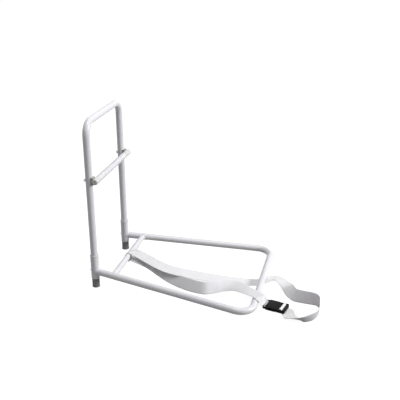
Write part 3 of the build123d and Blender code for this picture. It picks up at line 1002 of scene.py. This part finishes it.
@dataclass
class SafetyStrap:
    """The webbing that ties the rail to the bed: an upper run with the loop, and a lower run."""

    bar_x: float = 73.0
    bar_z: float = 56.16
    bar_r: float = 12.4
    buckle_x: float = 667.0
    buckle_y: float = -171.0
    buckle_turn: float = -14.0
    stitch_box: tuple[float, float] = (34 * MM, 24 * MM)
    crossbar_stitch: int = 14
    buckle_stitch: int = -16
    thread: tuple[tuple[float, float], ...] = (
        (34, 1.3), (27, 1.5), (23, 3.4), (20.8, 8), (19, 14), (16.5, 16.2), (13.5, 16.2), (11.2, 14),
        (9.4, 8), (8.4, 5),
    )

    def wrap(self, start: float, end: float, y_start: float, y_end: float, heading: float,
             steps: int) -> list[Stop]:
        """Stops round the crossbar.

        Args:
            start: First angle round the bar, in degrees.
            end: Last angle.
            y_start: Where the strap's edge starts along the bar.
            y_end: Where it ends.
            heading: The strap's heading, in degrees.
            steps: How many pieces the wrap is cut into.

        Returns:
            The stops, both ends included.
        """
        stops = []
        for step in range(steps + 1):
            share = step / steps
            angle = math.radians(start + (end - start) * share)
            stops.append(Stop(self.bar_x + self.bar_r * math.cos(angle), y_start + (y_end - y_start) * share,
                              self.bar_z + self.bar_r * math.sin(angle), heading))
        return stops

    def threaded(self) -> list[Stop]:
        """Stops under the loose half's end bar, over its middle bar and down into its first slot."""
        turn = math.radians(self.buckle_turn)
        across = math.radians(self.buckle_turn + 90)
        stops = []
        for along, z in self.thread:
            x = self.buckle_x + along * math.cos(turn) + WEB_MM / 2 * math.cos(across)
            y = self.buckle_y + along * math.sin(turn) + WEB_MM / 2 * math.sin(across)
            stops.append(Stop(x, y, z, self.buckle_turn - 180))
        return stops

    def upper(self) -> Strap:
        """Over the crossbar, along the base, under the end bar, round the loop and into the loose half."""
        stops = self.wrap(200, 80, 0, -10, -28, 4)
        stops += [
            Stop(110, -26, 63.5, -30, 4), Stop(150, -48, 58.5, -27, 6), Stop(190, -67, 52.5, -22, 8),
            Stop(235, -81, 45, -10, 11), Stop(290, -85, 37, -1, 13), Stop(345, -79, 28, 5, 14),
            Stop(400, -70, 20, 9, 14), Stop(450, -60, 13, 12, 12), Stop(500, -47, 7, 14, 9),
            Stop(540, -35, 2.6, 14, 5), Stop(570, -25, 1.3, 18), Stop(586, -16, 1.3, 24), Stop(600, -5, 3, 28, -2),
            Stop(615, 6, 9, 22, -4), Stop(632, 9, 12, -8, -6), Stop(646, -6, 11, -45, -6),
            Stop(657, -26, 8, -60, 6),
            Stop(667, -47, 5, -64, 24), Stop(680, -73, 2.5, -60, 42), Stop(696, -93, 1.4, -48, 55),
            Stop(713, -107, 1.2, -34, 62), Stop(748, -114, 1.2, -12, 70), Stop(773, -116, 1.2, -10, 76),
            Stop(794, -121, 1.2, -38, 86), Stop(804, -140, 1, -78, 90), Stop(804.5, -165, 1, -92, 88),
            Stop(800, -190, 1, -106, 79), Stop(789, -214, 1.2, -130, 70), Stop(771, -229, 1.2, -156, 62),
            Stop(754, -233, 1.2, -174, 50), Stop(740, -224, 1.2, -185, 34), Stop(728, -208, 1.2, -192, 18),
            Stop(715, -189, 1.2, -194, 5),
        ]
        return Strap("webbing_upper", stops + self.threaded())

    def lower(self) -> Strap:
        """Under the crossbar, along the floor, over the end bar and into the fixed half."""
        stops = self.wrap(150, 280, -20, -20, -30, 4)
        stops += [
            Stop(95, -28, 43, -33, 8), Stop(120, -34, 39, -34, 22), Stop(149, -41, 33, -36, 38),
            Stop(181, -56, 26, -34, 48), Stop(213, -72, 17, -30, 54), Stop(250, -88, 8, -24, 57),
            Stop(290, -103, 1.5, -18, 58), Stop(328, -119, 1.1, -12, 58), Stop(367, -130, 1.1, -4, 58),
            Stop(402, -132, 1.1, 10, 57), Stop(435, -116, 2, 18, 50), Stop(466, -101, 6, 10, 38),
            Stop(497, -100, 11, -12, 24), Stop(530, -122, 19, -32, 9), Stop(556, -144, 26, -38, 2),
            Stop(576, -161, 30.3, -40), Stop(592, -173, 28.5, -38), Stop(605, -181, 20.5, -28),
            Stop(613, -183.5, 13, -18), Stop(620, -184.2, 9.6, -14), Stop(625, -184.8, 9, -14),
        ]
        return Strap("webbing_lower", stops)

    def build(self, handle_x: float) -> None:
        """Make both straps and their stitches.

        Args:
            handle_x: X of the handle's plane, from which the stops are measured.
        """
        upper, lower = self.upper(), self.lower()
        frames = upper.frames(handle_x)
        piece = finish_mesh(upper.mesh(frames), upper.name, Finish.WEBBING, "root", 60.0, rides=False)
        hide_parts("strap_upper_run", "strap_wrap", "strap_loop_far", "strap_loop_near")
        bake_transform(piece, "root", "buckle_loose_half", (0, -0.125, 0), (0, -0.166, 0))
        upper.length(frames)
        stitches = bmesh.new()
        Stitching().box(stitches, frames[self.crossbar_stitch], *self.stitch_box)
        finish_mesh(stitches, "stitches_crossbar", Finish.THREAD, "root", 80.0)
        frames = lower.frames(handle_x)
        piece = finish_mesh(lower.mesh(frames), lower.name, Finish.WEBBING, "root", 60.0)
        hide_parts("strap_lower_run", "strap_over_bar")
        lower.length(frames)
        stitches = bmesh.new()
        Stitching().box(stitches, frames[self.buckle_stitch], *self.stitch_box)
        finish_mesh(stitches, "stitches_buckle", Finish.THREAD, "root", 80.0)


# ---- Buckle -------------------------------------------------------------------------------------
@dataclass
class Buckle:
    """The side-release buckle."""

    bevel: float = 0.9 * MM

    def build(self) -> None:
        """Round and dress the buckle's four mouldings."""
        refined("buckle_female", "buckle_body", Finish.BUCKLE, "root", self.bevel)
        refined("buckle_male", "buckle_insert", Finish.BUCKLE, "buckle_loose_half", self.bevel)
        for name in ("near", "far"):
            refined(f"buckle_prong_{name}", f"prong_piece_{name}", Finish.BUCKLE, f"prong_{name}", self.bevel / 2)


def main() -> None:
    """Build the studio, then each sub-assembly in turn."""
    logging.basicConfig(level=logging.INFO, format="%(message)s")
    leg_low, leg_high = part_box("sleeve_near")
    handle_x = (leg_low[0] + leg_high[0]) / 2
    Studio().build(handle_x)
    SteelFrame().build()
    for name in ("near", "far"):
        Socket(name).build()
    GrabBar().build()
    SafetyStrap().build(handle_x)
    Buckle().build()


if __name__ == "__main__":
    main()
